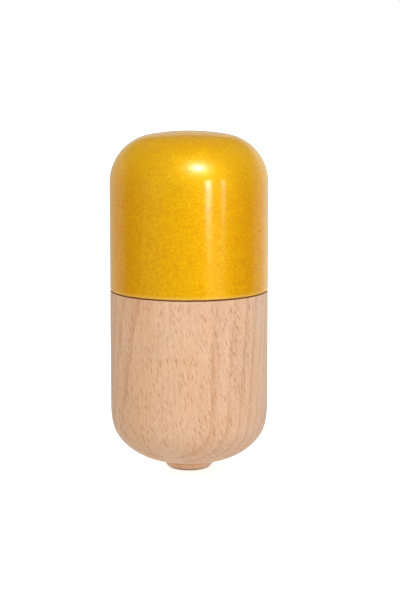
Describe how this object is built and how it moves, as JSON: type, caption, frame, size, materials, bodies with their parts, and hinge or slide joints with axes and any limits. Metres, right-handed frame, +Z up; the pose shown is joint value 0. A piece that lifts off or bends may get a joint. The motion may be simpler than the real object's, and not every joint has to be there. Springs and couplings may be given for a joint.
{
  "type": "capsule shaker",
  "caption": "Hand shaker in a capsule shape: a turned beech cup with a small foot, a gold-lacquered cap that pushes on, and loose steel shot inside.",
  "frame": {"origin": "middle of the foot's flat face, on which the shaker stands", "axes": "+Z up along the turning axis, from the foot to the gold cap; X and Y are equivalent, because the body is round"},
  "size_m": [0.045, 0.045, 0.097],
  "materials": {
    "gold_lacquer": "metallic gold lacquer on turned beech, glossy",
    "beech": "turned and sanded beech, thin satin oil",
    "beech_foot": "turned and sanded beech, thin satin oil",
    "steel_shot": "polished steel balls"
  },
  "bodies": {
    "cup": {"beech_cup": "beech", "foot_plug": "beech_foot"},
    "cap": {"lacquered_cap": "gold_lacquer"},
    "shot_01": {"steel_shot_01": "steel_shot"},
    "shot_02": {"steel_shot_02": "steel_shot"},
    "shot_03": {"steel_shot_03": "steel_shot"},
    "shot_04": {"steel_shot_04": "steel_shot"},
    "shot_05": {"steel_shot_05": "steel_shot"},
    "shot_06": {"steel_shot_06": "steel_shot"},
    "shot_07": {"steel_shot_07": "steel_shot"},
    "shot_08": {"steel_shot_08": "steel_shot"},
    "shot_09": {"steel_shot_09": "steel_shot"},
    "shot_10": {"steel_shot_10": "steel_shot"},
    "shot_11": {"steel_shot_11": "steel_shot"},
    "shot_12": {"steel_shot_12": "steel_shot"},
    "shot_13": {"steel_shot_13": "steel_shot"},
    "shot_14": {"steel_shot_14": "steel_shot"},
    "shot_15": {"steel_shot_15": "steel_shot"},
    "shot_16": {"steel_shot_16": "steel_shot"},
    "shot_17": {"steel_shot_17": "steel_shot"},
    "shot_18": {"steel_shot_18": "steel_shot"},
    "shot_19": {"steel_shot_19": "steel_shot"}
  },
  "joints": [
    {"name": "cap_pull_off", "type": "slide", "parent": "cup", "child": "cap", "axis": [0, 0, 1], "range_m": [0, 0.06]},
    {"name": "shot_01_bounce", "type": "slide", "parent": "cup", "child": "shot_01", "axis": [0, 0, 1], "range_m": [0, 0.0791]},
    {"name": "shot_02_bounce", "type": "slide", "parent": "cup", "child": "shot_02", "axis": [0, 0, 1], "range_m": [0, 0.07885]},
    {"name": "shot_03_bounce", "type": "slide", "parent": "cup", "child": "shot_03", "axis": [0, 0, 1], "range_m": [0, 0.07885]},
    {"name": "shot_04_bounce", "type": "slide", "parent": "cup", "child": "shot_04", "axis": [0, 0, 1], "range_m": [0, 0.07885]},
    {"name": "shot_05_bounce", "type": "slide", "parent": "cup", "child": "shot_05", "axis": [0, 0, 1], "range_m": [0, 0.07885]},
    {"name": "shot_06_bounce", "type": "slide", "parent": "cup", "child": "shot_06", "axis": [0, 0, 1], "range_m": [0, 0.07885]},
    {"name": "shot_07_bounce", "type": "slide", "parent": "cup", "child": "shot_07", "axis": [0, 0, 1], "range_m": [0, 0.07885]},
    {"name": "shot_08_bounce", "type": "slide", "parent": "cup", "child": "shot_08", "axis": [0, 0, 1], "range_m": [0, 0.07733]},
    {"name": "shot_09_bounce", "type": "slide", "parent": "cup", "child": "shot_09", "axis": [0, 0, 1], "range_m": [0, 0.07807]},
    {"name": "shot_10_bounce", "type": "slide", "parent": "cup", "child": "shot_10", "axis": [0, 0, 1], "range_m": [0, 0.07733]},
    {"name": "shot_11_bounce", "type": "slide", "parent": "cup", "child": "shot_11", "axis": [0, 0, 1], "range_m": [0, 0.07807]},
    {"name": "shot_12_bounce", "type": "slide", "parent": "cup", "child": "shot_12", "axis": [0, 0, 1], "range_m": [0, 0.07733]},
    {"name": "shot_13_bounce", "type": "slide", "parent": "cup", "child": "shot_13", "axis": [0, 0, 1], "range_m": [0, 0.07807]},
    {"name": "shot_14_bounce", "type": "slide", "parent": "cup", "child": "shot_14", "axis": [0, 0, 1], "range_m": [0, 0.07733]},
    {"name": "shot_15_bounce", "type": "slide", "parent": "cup", "child": "shot_15", "axis": [0, 0, 1], "range_m": [0, 0.07807]},
    {"name": "shot_16_bounce", "type": "slide", "parent": "cup", "child": "shot_16", "axis": [0, 0, 1], "range_m": [0, 0.07733]},
    {"name": "shot_17_bounce", "type": "slide", "parent": "cup", "child": "shot_17", "axis": [0, 0, 1], "range_m": [0, 0.07807]},
    {"name": "shot_18_bounce", "type": "slide", "parent": "cup", "child": "shot_18", "axis": [0, 0, 1], "range_m": [0, 0.07733]},
    {"name": "shot_19_bounce", "type": "slide", "parent": "cup", "child": "shot_19", "axis": [0, 0, 1], "range_m": [0, 0.07807]}
  ]
}
